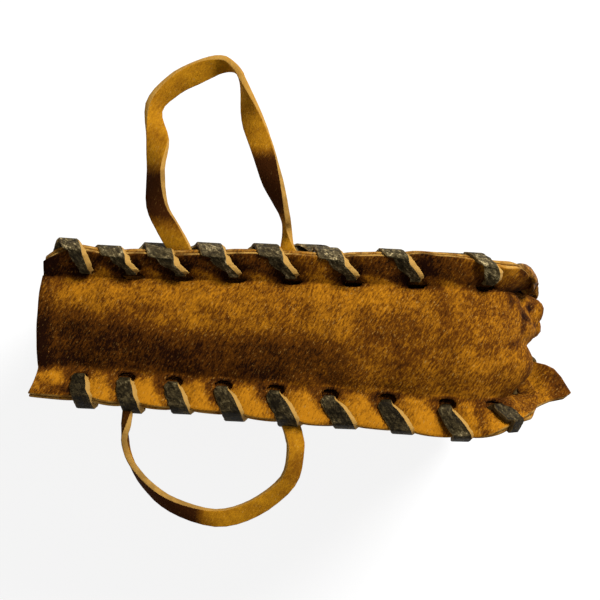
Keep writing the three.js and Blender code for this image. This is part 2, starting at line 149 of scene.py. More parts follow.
TIPPED = {FRONT: 0.75 * LACE_ROLL, BACK: LACE_ROLL}
NECK = {FRONT: LACE_NECK + 1.6, BACK: LACE_NECK + 0.4}  # its width beside a hole
DRAWN = {FRONT: (TURNED + 15, 10), BACK: (TURNED, 17)}  # it is drawn tight here, with its reach
BOW = {4: 6.0, 6: 4.5}  # the back lace stands off on its way down to these holes

# Camera, over the near side strip
CAMERA_CENTRE = (5.2, 14.1)
CAMERA_ROLL = 3.1  # degrees
CAMERA_LENS = 85.0
SENSOR = 36.0
VIEW_WIDTH = 240.0
VIEW_PLANE = NEAR_Z + 8

# Studio, in metres
FLOOR_HALF = 15.0
FLOOR_GLOW = 0.85  # how far the floor is lifted towards white
WORLD_LIGHT = 0.32
LIT_SPOT = (0, 0, 0.14)
LAMPS = (("key", (0.72, 0.88, 1.1), 0.55, 48), ("fill", (-0.9, -0.9, 1.3), 1.2, 5))


def smooth(x, low, high):
    t = np.clip((np.asarray(x, float) - low) / (high - low), 0, 1)
    return t * t * (3 - 2 * t)


def lerp(a, b, t):
    return a + (b - a) * t


def hump(x, middle, reach):
    return np.exp(-(((x - middle) / reach) ** 2))


def rough(points, size, seed=0.0):
    """Smooth noise from -1 to 1 at each point, with features of about that size."""
    flat = np.asarray(points, float).reshape(-1, 3) / size
    values = [noise.noise(Vector((x + seed, y - seed, z + 2 * seed))) for x, y, z in flat]
    return np.array(values).reshape(np.shape(points)[:-1])


# The seam line seen from the front: along one side, round the bottom, back along the other.
def seam_at(s):
    s = np.asarray(s, float)
    turn = np.clip((s - RUN) / CORNER, 0, math.pi / 2)
    turn = turn + np.clip((s - RUN - ARC - BOTTOM) / CORNER, 0, math.pi / 2)
    none = np.zeros_like(s)
    along = np.stack([np.cos(turn), none, -np.sin(turn)], -1)
    out = np.stack([np.sin(turn), none, np.cos(turn)], -1)
    x = BASE_X - CORNER + np.minimum(s - RUN, 0) - np.maximum(s - RUN - 2 * ARC - BOTTOM, 0)
    z = NEAR_Z - CORNER - np.clip(s - RUN - ARC, 0, BOTTOM)
    return np.stack([x, none, z], -1) + CORNER * out, along, out


def towards_base(x):
    return np.clip((x - MOUTH_X) / (BASE_X - MOUTH_X), 0, 1)


def half_depth(x):
    return lerp(DEPTH_MOUTH, DEPTH_BASE, towards_base(x)) / 2


def leg(s):
    """0 on the upper side, 1 along the bottom, 2 on the side that lies on the ground."""
    first = smooth(s, RUN - 4, TURNED + LEAN_EASE)
    return first + smooth(s, TURNED + BOTTOM - LEAN_EASE_FAR, SEAM - RUN - 6)


def lean(s, side):
    """How far the allowance stands up; at the first corner the front one folds over as an ear."""
    k = leg(s)
    bent, near = 0.0, LEAN_NEAR
    if side == FRONT:
        bent = sum(turn * hump(s, TURNED + past, reach) for turn, past, reach in EAR_BENDS)
        near = LEAN_NEAR_FRONT
    near = lerp(LEAN_MOUTH, near, np.clip(s / RUN, 0, 1))
    angle = np.where(k < 1, lerp(near, LEAN_BASE, k), lerp(LEAN_BASE, LEAN_FAR, k - 1))
    return np.radians(angle + bent)


def flange(s, side):
    """Width of the seam allowance."""
    s = np.asarray(s, float)
    wave = 0.5 * np.sin(s / 11 + side)
    trim = (TRIM if side == BACK else EAR_TRIM) * hump(s, TURNED, TRIM_REACH)
    trim = trim + SHORT[side] * (1 - smooth(s, RUN - 10, TURNED))
    trim = trim - MOUTH_PEAK * hump(s, 9, 6) * (side == BACK)
    drawn = hump(s[..., None], crossings(side, 1.0), NIP_REACH).max(-1)
    trim = trim + NIP * (drawn - 0.5) * off_ground(s)
    return lerp(FLANGE_MOUTH, FLANGE_BASE, towards_base(seam_at(s)[0][..., 0])) + wave - trim


def ear(s, side):
    """How far the front panel's loose ear stands past the allowance."""
    s = np.asarray(s, float)
    return np.interp(s - RUN - ARC, *EAR_EDGE) if side == FRONT else 0 * s


def hole_inset(s):
    return lerp(HOLE_INSET, HOLE_INSET_BASE, 1 - np.abs(1 - leg(s)))


def off_ground(s):
    """1 on the free sides of the bag, 0 along the side that lies on the ground."""
    return 1 - smooth(leg(s), 1.1, 1.8)


def ripple(s, a, side):
    """How far the two layers of a seam allowance wave together towards the strip."""
    share = np.clip(a / FLANGE_MOUTH, 0, 1.4) ** 1.6
    wave = 0.6 * np.sin(s / 9.3 + 1.3 * side) + 0.4 * np.sin(s / 4.3 + 2.1 * side)
    corner = hump(s, RUN + ARC * 0.9, 30) * CRUMPLE
    fold = 0.7 * np.sin(s / 3.1 + side) + 0.5 * np.sin(s / 1.9 - a / 4)
    return share * off_ground(s) * (RIPPLE * wave + corner * fold)


def seam_frame(s, side):
    at, along, out = seam_at(s)
    angle = lean(s, side)[..., None]
    across = np.zeros_like(out)
    across[..., 1] = side
    at = at + across * half_depth(at[..., 0])[..., None]
    to_edge = across * np.cos(angle) + out * np.sin(angle)
    to_strip = out * np.cos(angle) - across * np.sin(angle)
    return at, along, to_edge, to_strip


def seam_point(s, a, c, side):
    """A place in a seam allowance: a to the cut edge, c through the leather to the strip."""
    s, a, c = np.broadcast_arrays(np.asarray(s, float), np.asarray(a, float), np.asarray(c, float))
    at, along, to_edge, to_strip = seam_frame(s, side)
    c = c + ripple(s, a, side)
    shift = 0.0
    if side == FRONT:
        shift = -MOUTH_EAR * np.clip(a / FLANGE_MOUTH, 0, 1) ** 2 * np.exp(-s / 7)
    at = at + to_edge * a[..., None] + to_strip * c[..., None]
    return at + along * np.asarray(shift)[..., None]


def mouth_bow(s, y):
    """The edge of the mouth is bowed from one cut edge to the other."""
    end = 1 - smooth(np.minimum(s, SEAM - s), 0, FIRST_HOLE)
    return MOUTH_BOW * end * np.maximum(0, 1 - (y / (DEPTH_MOUTH / 2 + FLANGE_MOUTH)) ** 2)


def mouth_cut(s, side):
    """The back corner of the mouth is cut off at a slant."""
    return MOUTH_CUT * np.exp(-s / MOUTH_CUT) if side == BACK else 0 * s


def belly(s, u):
    """How far the strip swells out between its seams, u from -1 at the front to 1 at the back."""
    k = leg(s)
    ridge = np.where(k < 1, lerp(0.22, -0.3, smooth(s, RUN * 0.6, TURNED)), lerp(-0.3, 0, k - 1))
    t = np.where(u > ridge, (u - ridge) / (1 - ridge), (ridge - u) / (1 + ridge))
    swell = 1 - np.clip(t, 0, 1) ** 2.2
    curl = 0.55 * (1 - smooth(s, 0, 26))
    near = lerp(BELLY_NEAR * (1 - curl), BELLY_BASE, np.minimum(k, 1)) * swell
    flat = np.minimum(1, 1.4 * (1 - np.abs(u) ** 3))
    return np.where(k < 1, near, lerp(BELLY_BASE * swell, (FAR_Z - SUEDE) * flat, k - 1))


# Lace holes: down one side, across the bottom, up the other side.
def hole_places(growth, corner=()):
    def side(grow):
        k = np.arange(SIDE_HOLES)
        return FIRST_HOLE + FIRST_PITCH * k + grow * k * k

    near = side(growth)
    for step in corner:
        near = np.append(near, near[-1] + step)
    far = (SEAM - side(PITCH_GROWTH))[::-1]
    base = np.linspace(near[-1], far[0], BASE_HOLES + 2)[1:-1]
    return np.concatenate([near, base, far])


HOLES = {BACK: hole_places(PITCH_GROWTH), FRONT: hole_places(PITCH_GROWTH_FRONT, (CORNER_HOLE,))}

# A foot of a strap: its hole, then its stations out from the seam line with how far it slews
# along the bag, how far it drops away below the panel and its roll there in degrees.
# The route: along the bag, out from it, above the seam line, and the roll of the band.
STRAPS = {
    "upper_strap": {
        "side": BACK,
        "width": 9.0,
        "feet": [(2, [(2.4, 1, 0, 0), (8, 0, 0, 0), (15, -2.6, 0, 0), (21, -6.2, 1.4, 4)]),
                 (4, [(2.4, 0, 0, 0), (8, 0, 0, 0), (13.5, -2.4, 0.6, 6), (20, -3, 4.8, 70)])],
        "route": [(-54, 49, 8, -26), (-55, 63, 10, -46), (-55, 75, 9, -4), (-57.4, 88, 7, 58),
                  (-50, 97.5, 6, 42), (-40, 103.5, 6, 30), (-31, 107, 6, 62), (-25, 105, 7, 92),
                  (-22, 99, 8, 84), (-18, 86, 9, 30), (-13, 73.5, 10, 10), (-8, 60, 9, 38),
                  (-3, 48, 5, 78)],
    },
    "lower_strap": {
        "side": FRONT,
        "width": 7.2,
        "feet": [(1, [(2.4, 0, 0, 0), (8, 0, 0, 0), (13, 1.2, 0.2, 0), (20, 1, 3, 56)]),
                 (4, [(2.4, 0, 0, 0), (8, 2, 0, 0), (14, 6, 0, 0), (20, 8.4, 1.2, 14)])],
        "route": [(-62.4, -45, 3, 88), (-60, -54, 1, 84), (-53, -64, -1, 64), (-42, -72, -2, 42),
                  (-24.5, -76.5, -3, 16), (-9, -71.5, -2, 12), (4.2, -59.5, 1, 26),
                  (6.6, -47, 4, 30)],
    },
}


def stitch_reach(place, gap, side):
    """How far along the bag a stitch slants from its hole to the cut edge."""
    reach = np.minimum(np.abs(gap) * SLANT, SLANT_REACH)
    if side == FRONT:
        reach = reach * lerp(0.3, 0.7, smooth(place, 10, 130))
        return reach * (1 - 0.6 * hump(place, RUN + ARC * 0.6, 12))
    return reach * (0.85 - 0.2 * hump(place, FIRST_HOLE, 6) - 0.5 * hump(place, RUN + 12, 8))


def crossings(side, rise):
    """Where the stitches are along the seam, from 0 at their holes to 1 at the cut edge."""
    way = -1 if side == BACK else 1
    order = HOLES[side][::way]
    gaps = np.append(np.diff(order), way * FIRST_PITCH)
    return order + way * stitch_reach(order, gaps, side) * rise


def stitch_gap(s, a, side):
    """Distance from s to the nearest stitch, at the place a up the allowance."""
    rise = np.clip((a - HOLE_INSET) / (FLANGE_BASE - HOLE_INSET), 0, 1)
    return np.min(np.abs(s[..., None] - crossings(side, rise[..., None])), -1)


def hole_grid(s, a, side, top=False):
    """A grid over a seam allowance, moved so that its lines run round every hole.

    In the top layer the holes of the near side are pulled wide.
    Gives the grid, the cells that are punched away, and how much painted shade each point gets
    round the holes."""
    s, a = (np.array(v) for v in np.broadcast_arrays(s, a))
    gone = np.zeros((s.shape[0] - 1, s.shape[1] - 1), bool)
    press = np.zeros(s.shape)
    for place in HOLES[side]:
        pulled = top and FIRST_HOLE < place < TURNED
        inset = hole_inset(place) - HOLE_DROP[side] * pulled
        wide = HOLE_STRETCH[side] if pulled else HOLE_TIGHT
        place = place + HOLE_DRAG[side] * pulled * float(off_ground(place))
        ds = (s - place) / (wide * HOLE_LENGTH / 2)
        da = (a - inset) / (wide * HOLE_WIDTH / 2)
        # painted shade round each hole
        press = np.maximum(press, np.exp(-((ds / 2) ** 2 + (da / 2.2) ** 2)))
        corners = [(slice(None, -1), slice(None, -1)), (slice(1, None), slice(None, -1)),
                   (slice(None, -1), slice(1, None)), (slice(1, None), slice(1, None))]
        middle = np.hypot(sum(ds[c] for c in corners) / 4, sum(da[c] for c in corners) / 4)
        cells = middle < 1
        gone |= cells
        rim = np.zeros(s.shape, bool)
        for c in corners:
            rim[c] |= cells
        reach = np.maximum(np.hypot(ds, da), 0.2)
        s = np.where(rim, place + (s - place) / reach, s)
        a = np.where(rim, inset + (a - inset) / reach, a)
    return s, a, gone, press


def weld_shell(name, outer, inner, gone, press, spine=False):
    """A closed sheet of leather from its two skins, with punched holes and a round raw edge."""
    n, m = outer.shape[:2]
    mesh = bmesh.new()
    cut = mesh.verts.layers.float.new("cut")
    painted_hole_shade = mesh.verts.layers.float.new("press")
    made = ({}, {})

    def corner(layer, i, j):
        if (i, j) not in made[layer]:
            v = mesh.verts.new((outer, inner)[layer][i, j] * MM)
            v[painted_hole_shade] = press[i, j]
            made[layer][i, j] = v
        return made[layer][i, j]

    def punched(i, j):
        return 0 <= i < n - 1 and 0 <= j < m - 1 and gone[i, j]

    for i in range(n - 1):
        for j in range(m - 1):
            ring = ((i, j), (i + 1, j), (i + 1, j + 1), (i, j + 1))
            if not gone[i, j]:
                mesh.faces.new([corner(0, *ij) for ij in ring])
                mesh.faces.new([corner(1, *ij) for ij in reversed(ring)])
                continue
            for k, (di, dj) in enumerate(((0, -1), (1, 0), (0, 1), (-1, 0))):
                if not punched(i + di, j + dj):
                    p, q = ring[k], ring[(k + 1) % 4]
                    mesh.faces.new((corner(0, *p), corner(0, *q), corner(1, *q), corner(1, *p)))
    rim = [(0, j) for j in range(m - 1, 0, -1)] + [(i, 0) for i in range(n)]
    rim += [(n - 1, j) for j in range(1, m)]
    if not spine:
        rim += [(i, m - 1) for i in range(n - 2, 0, -1)]
    sheet = (outer + inner) / 2
    rows = []
    for i, j in rim:
        outward = np.zeros(3)
        if j == 0 or (j == m - 1 and not spine):
            outward += sheet[i, j] - sheet[i, 1 if j == 0 else m - 2]
        if i in (0, n - 1):
            outward += sheet[i, j] - sheet[1 if i == 0 else n - 2, j]
        outward *= EDGE_ROUND / max(np.linalg.norm(outward), 1e-6)
        row = [corner(0, i, j)]
        for share, swell in ((0.16, 0.8), (0.5, 1.0), (0.84, 0.8)):
            v = mesh.verts.new((lerp(outer[i, j], inner[i, j], share) + outward * swell) * MM)
            v[cut] = 1.0
            row.append(v)
        rows.append(row + [corner(1, i, j)])
    for k in range(len(rows) - spine):
        here, after = rows[k], rows[(k + 1) % len(rows)]
        for one in range(4):
            mesh.faces.new((here[one], here[one + 1], after[one + 1], after[one]))
    bmesh.ops.remove_doubles(mesh, verts=mesh.verts, dist=MERGE)
    bmesh.ops.dissolve_degenerate(mesh, edges=mesh.edges, dist=MERGE)
    bmesh.ops.recalc_face_normals(mesh, faces=mesh.faces)
    return finished(name, mesh)


def finished(name, mesh):
    """An object from a mesh that is done."""
    data = bpy.data.meshes.new(name)
    mesh.to_mesh(data)
    mesh.free()
    data.polygons.foreach_set("use_smooth", [True] * len(data.polygons))
    piece = bpy.data.objects.new(name, data)
    bpy.context.scene.collection.objects.link(piece)
    return piece


def thickened(skin, thick, towards):
    """The other skin of a sheet, square to the first, on the side that towards points to."""
    normal = np.cross(np.gradient(skin, axis=0), np.gradient(skin, axis=1))
    normal /= np.maximum(np.linalg.norm(normal, axis=-1, keepdims=True), 1e-9)
    normal *= np.sign(np.sum(normal * towards, -1, keepdims=True))
    return skin + normal * thick


def soften(skin, roots, reach, times):
    """Rounds the fold between allowance and bag, at these rows of the skin."""
    rows = np.arange(skin.shape[1])
    soft = np.clip(sum(hump(rows, row, reach) for row in roots), 0, 1)[None, 1:-1, None]
    for _ in range(times):
        mean = (skin[:, :-2] + skin[:, 2:]) / 2
        skin[:, 1:-1] += 0.5 * soft * (mean - skin[:, 1:-1])


# Side strip: one length of suede round both sides and the bottom.
def make_gusset():
    s = np.linspace(0, SEAM, STATIONS)[:, None]
    at, _, out = seam_at(s[:, 0])
    half = half_depth(at[:, 0])[:, None]
    share = np.linspace(1, 0, FLANGE_ROWS)[None, :]
    count = 2 * FLANGE_ROWS + BELLY_ROWS
    gone = np.zeros((STATIONS - 1, count - 1), bool)
    press = np.zeros((STATIONS, count))
    skins = []
    for side in (FRONT, BACK):
        long = flange(s, side) - mouth_cut(s, side)
        ss, a, cells, shade_round_holes = hole_grid(s, share * long, side, top=True)
        near = stitch_gap(ss, a, side)
        lift = PUFF * (1 - hump(near, 0, 6)) * np.sin(math.pi * 0.9 * a / long) * off_ground(ss)
        skins.append(seam_point(ss, a, GAP / 2 + lift, side))
        if side == FRONT:
            gone[:, :FLANGE_ROWS - 1], press[:, :FLANGE_ROWS] = cells, shade_round_holes
        else:
            gone[:, 1 - FLANGE_ROWS:], press[:, -FLANGE_ROWS:] = cells[:, ::-1], shade_round_holes[:, ::-1]
    u = np.linspace(-1, 1, BELLY_ROWS + 2)[None, 1:-1]
    height = belly(s, u)
    for side in (FRONT, BACK):
        near = np.min(np.abs(s[..., None] - HOLES[side]), -1)
        from_root = (1 - side * u) * half
        drawn = (0.5 - hump(near, 0, PUCKER_REACH)) * np.exp(-from_root / PUCKER_REACH)
        height = height + PUCKER * drawn * off_ground(s)
    # the first bottom corner: domed at the front, pressed in under the ear, crushed at the back
    height = height + DOME * hump(s, TURNED - 4, 11) * hump(u, -0.35, 0.4)
    height = height - DENT * hump(s, TURNED + 11, 7) * hump(u, -0.55, 0.3)
    crushed = hump(s, TURNED + 11, 16) * smooth(u, -0.05, 0.3) * (1 - smooth(u, 0.8, 1.05))
    fold = 0.9 * np.sin(s / 2.6 + 5 * u) + 0.7 * np.sin(s / 4.7 - 7 * u)
    fold = fold + 0.6 * np.sin(s / 1.3 - 11 * u)
    height = height + crushed * (CRUSH + CRUMPLE * fold)
    middle = at[:, None, :] + out[:, None, :] * height[..., None]
    middle[..., 1] = u * half
    skin = np.concatenate([skins[0], middle, skins[1][:, ::-1]], 1)
    soften(skin, (FLANGE_ROWS - 1, FLANGE_ROWS + BELLY_ROWS), 2.4, 6)
    skin[..., 0] -= mouth_bow(s, skin[..., 1])
    sag = 0.9 * rough(skin, 22.0) + 0.45 * rough(skin, 8.0, 3.0)
    sag *= off_ground(s) * smooth(half * 0.9 - np.abs(skin[..., 1]), 0, 4)
    skin += out[:, None, :] * sag[..., None]
    skin[..., 2] = np.maximum(skin[..., 2], SUEDE)
    face = thickened(skin, SUEDE, out[:, None, :])
    face[..., 2] = np.maximum(face[..., 2], 0)
    return weld_shell("gusset_suede", face, skin, gone, press)


# Panel: its rim lies against the strip, its middle runs in to a line half way up the bag.
def make_panel(name, side):
    s = np.linspace(0, SEAM, STATIONS)[:, None]
    at = seam_at(s[:, 0])[0]
    half = half_depth(at[:, 0])
    share = np.linspace(1, 0, FLANGE_ROWS)[None, :]
    long = flange(s, side) + ear(s, side) - mouth_cut(s, side)
    ss, a, cells, shade_round_holes = hole_grid(s, share * long, side)
    rim = seam_point(ss, a, -GAP / 2, side)
    inmost = np.minimum(at[:, 0], BASE_X - BAG_WIDTH / 2)
    spine = np.stack([inmost, 0 * half, 0 * half + MIDDLE_Z], -1)
    e = np.linspace(0, 1, WALL_ROWS + 1)[None, 1:]
    wall = at[:, None, :] + (spine - at)[:, None, :] * e[..., None]
    y = lerp(half[:, None], half_depth(spine[:, 0])[:, None], e) + PANEL_BULGE * e * (2 - e)
    wall[..., 1] = side * y
    sag = 1.6 * rough(wall, 34.0, 7.0) + 0.6 * rough(wall, 11.0, 2.0)
    wall[..., 1] += side * sag * smooth(e, 0.05, 0.3)
    skin = np.concatenate([rim, wall], 1)
    soften(skin, (FLANGE_ROWS - 0.5,), 1.6, 5)
    skin[..., 0] -= mouth_bow(s, skin[..., 1])
    towards = np.zeros_like(skin)
    towards[..., 1] = side
    face = thickened(skin, SUEDE, towards)
    face[:, -1] = skin[:, -1] + np.array([0, side * SUEDE, 0])
    gone = np.zeros((STATIONS - 1, skin.shape[1] - 1), bool)
    press = np.zeros(skin.shape[:2])
    gone[:, :FLANGE_ROWS - 1], press[:, :FLANGE_ROWS] = cells, shade_round_holes
    return weld_shell(name, face, skin, gone, press, spine=True)


# Punched slots, as one cutter for a whole seam.
def slot_cutter(side, holes, deep):
    mesh = bmesh.new()
    for s in holes:
        _, _, to_edge, to_strip = seam_frame(np.array(s), side)
        middle = seam_point(s, hole_inset(s), 0, side)
        wide = np.cross(to_edge, to_strip)
        ring = []
        for k in range(SLOT_SIDES):
            t = 2 * math.pi * k / SLOT_SIDES
            spot = middle + wide * (HOLE_LENGTH / 2 * math.cos(t))
            ring.append(spot + to_edge * (HOLE_WIDTH / 2 * math.sin(t)))
        top = [mesh.verts.new((p + to_strip * deep) * MM) for p in ring]
        low = [mesh.verts.new((p - to_strip * deep) * MM) for p in ring]
        mesh.faces.new(top)
        mesh.faces.new(low[::-1])
        for k in range(SLOT_SIDES):
            after = (k + 1) % SLOT_SIDES
            mesh.faces.new((low[k], low[after], top[after], top[k]))
    bmesh.ops.recalc_face_normals(mesh, faces=mesh.faces)
    return finished("slots", mesh)


def punch(piece, side, holes, deep):
    cutter = slot_cutter(side, holes, deep)
    cut = piece.modifiers.new("punch", "BOOLEAN")
    cut.operation, cut.object, cut.solver = "DIFFERENCE", cutter, "EXACT"
    bake_modifiers(piece)
    data = cutter.data
    bpy.data.objects.remove(cutter)
    bpy.data.meshes.remove(data)


def bake_modifiers(piece):
    """Turns what a piece's modifiers make into its plain mesh."""
    graph = bpy.context.evaluated_depsgraph_get()
    made = bpy.data.meshes.new_from_object(piece.evaluated_get(graph))
    old = piece.data
    piece.modifiers.clear()
    piece.data = made
    made.name = piece.name
    bpy.data.meshes.remove(old)


# Lace: through a hole to the strip's side, slanting up over the cut edges, down the panel's
# side to the next hole.
def lace_path(side):
    feet = {foot[0] for strap in STRAPS.values() if strap["side"] == side for foot in strap["feet"]}
    bows = BOW if side == BACK else {}
    order = [(s, k in feet, bows.get(k, 0)) for k, s in enumerate(HOLES[side])]
    way = 1
    if side == BACK:
        order.reverse()
        way = -1
    lead, tuck, tipped, neck = LEAD[side], TUCK[side], TIPPED[side], NECK[side]
    bend = HOLE_WIDTH / 2
    path = []

    def drawn(s):
        """1 where the lace is drawn narrow and tight round a corner."""
        return float(hump(s, *DRAWN[side]))

    def add(s, a, c, to_edge, to_strip, width, roll=0.0, slant=0.0):
        tight = drawn(s)
        if c > 0:  # past the strip's own edge the lace lies on the ear
            past = smooth(a - flange(s, side), 0, 2) * smooth(ear(s, side), 1, 3)
            c = c - (SUEDE + GAP) * float(past)
        _, along, edge_way, strip_way = seam_frame(np.array(s), side)
        twist = abs(float(lean(s + 6, side) - lean(s - 6, side)))
        slack = LACE_SLACK * min(1, twist / math.radians(6)) * to_strip * (1 - tight)
        tip = math.tan(math.radians(roll * (1 - tight)))
        up = edge_way * to_edge + strip_way * to_strip
        width = width * (1 - 0.4 * tight) / math.hypot(1, tip) / math.cos(slant)
        place = seam_point(s, a, c + slack, side)
        path.append((place, up - along * tip, (along + up * tip) * width))

    def slant_of(s0, a0, s1, a1):
        return min(math.atan2(abs(s1 - s0), abs(a1 - a0)), MOST_SLANT)

    def run(s0, a0, s1, a1, c, bow=0.0):
        """A straight length on one face of the seam, rolled on the strip's side."""
        slant = slant_of(s0, a0, s1, a1)
        outer = math.copysign(1, c)
        for k in (0.2, 0.4, 0.6, 0.8):
            wide = lerp(neck, LACE_WIDTH, min(1, 2 * (k if a1 > a0 else 1 - k)))
            s = lerp(s0, s1, k)
            loose = float(off_ground(s0)) * (1 - drawn(s))
            roll = tipped * loose * float(smooth(k, -0.6, 0.2)) if outer > 0 else 0
            lift = (0.8 * loose + bow) * math.sin(math.pi * k)
            a = lerp(a0, a1, k ** (1 + bow / 4))
            add(s, a, c + lift * outer, 0, outer, wide, roll, slant)

    def edge_at(s):
        return max(float(flange(s + d, side) + ear(s + d, side)) for d in (-1.5, 0, 1.5))

    def over(s, off, slant):
        """The turn over both cut edges, down to that far off on the panel's side."""
        edge = edge_at(s)
        for ahead, a, c, to_edge, to_strip in (
                (-lead, edge - LACE_BREAK, LACE_LIE, 0, 1),
                (-lead / 2, edge + 0.6, LACE_LIE - 0.4, 0.6, 0.8),
                (0, edge + 0.9, (LACE_LIE - off) / 2, 1, 0),
                (lead / 2, edge + 0.6, 0.4 - off, 0.6, -0.8),
                (lead, edge - tuck, -off, 0, -1)):
            roll = tipped * (to_strip > 0.9)
            add(s + way * ahead, a, c, to_edge, to_strip, LACE_WIDTH, roll, slant)

    def through(s, a, off):
        """The turn through a hole, from the panel's side to the strip's."""
        for up, c, to_edge, to_strip, wide in (
                (bend, -off, 0, -1, LACE_NECK + 1),
                (bend * 0.3, bend * 0.3 - off, -0.7, -0.7, LACE_NECK),
                (0, 0, -1, 0, LACE_NECK),
                (bend * 0.3, LACE_LIE - bend * 0.3, -0.7, 0.7, LACE_NECK),
                (bend, LACE_LIE, 0, 1, neck + 0.6)):
            roll = 0.6 * tipped * float(off_ground(s)) * (to_strip > 0.9)
            add(s, a + up, c, to_edge, to_strip, wide, roll)

    def off_at(k):
        return LACE_LIE + (LACE_OVER_STRAP if order[k][1] else 0)

    start = order[0][0]
    add(start - way * 7, float(flange(start, side)) - 3, -off_at(0), 0, -1, LACE_WIDTH)
    for k, (s, _, _) in enumerate(order):
        a = float(hole_inset(s))
        through(s, a, off_at(k))
        last = k + 1 == len(order)
        following = s + way * FIRST_PITCH if last else order[k + 1][0]
        top = s + way * float(stitch_reach(s, following - s, side))
        brow = edge_at(top) - LACE_BREAK
        run(s, a + bend, top - way * lead, brow, LACE_LIE)
        slant = slant_of(s, a + bend, top - way * lead, brow)
        over(top, LACE_LIE if last else max(off_at(k), off_at(k + 1)), slant)
        if last:
            add(s + way * 11, a + 6, -LACE_LIE, 0, -1, LACE_WIDTH - 2)
        else:
            below = float(hole_inset(following)) + bend
            run(top + way * lead, edge_at(top) - tuck, following, below,
                -off_at(k + 1), order[k + 1][2])
    return path


def strap_path(side, width, feet, route):
    """Up from one foot, round the loop and down to the other foot."""
    def foot(hole, stations):
        knots = []
        rolled = stations[-1][3] > 30
        for a, slew, drop, roll in stations:
            s = HOLES[side][hole] + slew
            pinch = 0.62 if a > 10 and rolled else 1.0
            at = seam_point(s, a, -STRAP_OFF - drop, side)
            knots.append((at, seam_frame(s, side)[3], roll, pinch))
        return knots

    up = np.array([0.0, 0.0, 1.0])
    knots = foot(*feet[0])
    knots += [(np.array([x, y, NEAR_Z + z], float), up, roll, 1.0) for x, y, z, roll in route]
    knots += foot(*feet[1])[::-1]
    headings = np.gradient(np.array([k[0] for k in knots]), axis=0)
    path = []
    for (place, face, roll, pinch), heading in zip(knots, headings):
        ahead = Vector(heading).normalized()
        face = Vector(face)
        face = (face - ahead * face.dot(ahead)).normalized()
        turn = math.radians(roll)
        face = face * math.cos(turn) + ahead.cross(face) * math.sin(turn)
        path.append((place, face, ahead.cross(face) * width * pinch))
    return path


class Tree:
    """A node tree under construction, with one method for every kind of node."""

    def __init__(self, tree):
        self.tree = tree

    def node(self, kind, settings=None, links=None):
        made = self.tree.nodes.new(kind)
        for key, value in (settings or {}).items():
            if key == "stops":
                ramp = made.color_ramp
                while len(ramp.elements) < len(value):
                    ramp.elements.new(0.5)
                for stop, (place, colour) in zip(ramp.elements, value):
                    stop.position, stop.color = place, (*colour, 1.0)
            else:
                setattr(made, key, value)
        for key, value in (links or {}).items():
            socket = made.inputs[key]
            if isinstance(value, Value):
                self.tree.links.new(value.socket, socket)
            elif isinstance(value, bpy.types.NodeSocket):
                self.tree.links.new(value, socket)
            else:
                socket.default_value = value
        return made

    def value(self, kind, settings=None, links=None, output=0):
        return Value(self, self.node(kind, settings, links).outputs[output])


class Value:
    """A number on a socket; arithmetic on it adds Math nodes."""

    def __init__(self, tree, socket):
        self.tree, self.socket = tree, socket

    def maths(self, operation, first, second=None):
        links = {0: first} if second is None else {0: first, 1: second}
        return self.tree.value("ShaderNodeMath", {"operation": operation}, links)

    def __add__(self, other):
        return self.maths("ADD", self, other)

    def __sub__(self, other):
        return self.maths("SUBTRACT", self, other)

    def __rsub__(self, other):
        return self.maths("SUBTRACT", other, self)

    def __mul__(self, other):
        return self.maths("MULTIPLY", self, other)

    def __lt__(self, other):
        return self.maths("LESS_THAN", self, other)

    __radd__, __rmul__ = __add__, __mul__

    def size(self):
        return self.maths("ABSOLUTE", self)

    def ramp(self, low, high):
        """0 below low, 1 above high, smooth between."""
        settings = {"interpolation_type": "SMOOTHSTEP"}
        return self.tree.value("ShaderNodeMapRange", settings, {0: self, 1: low, 2: high})


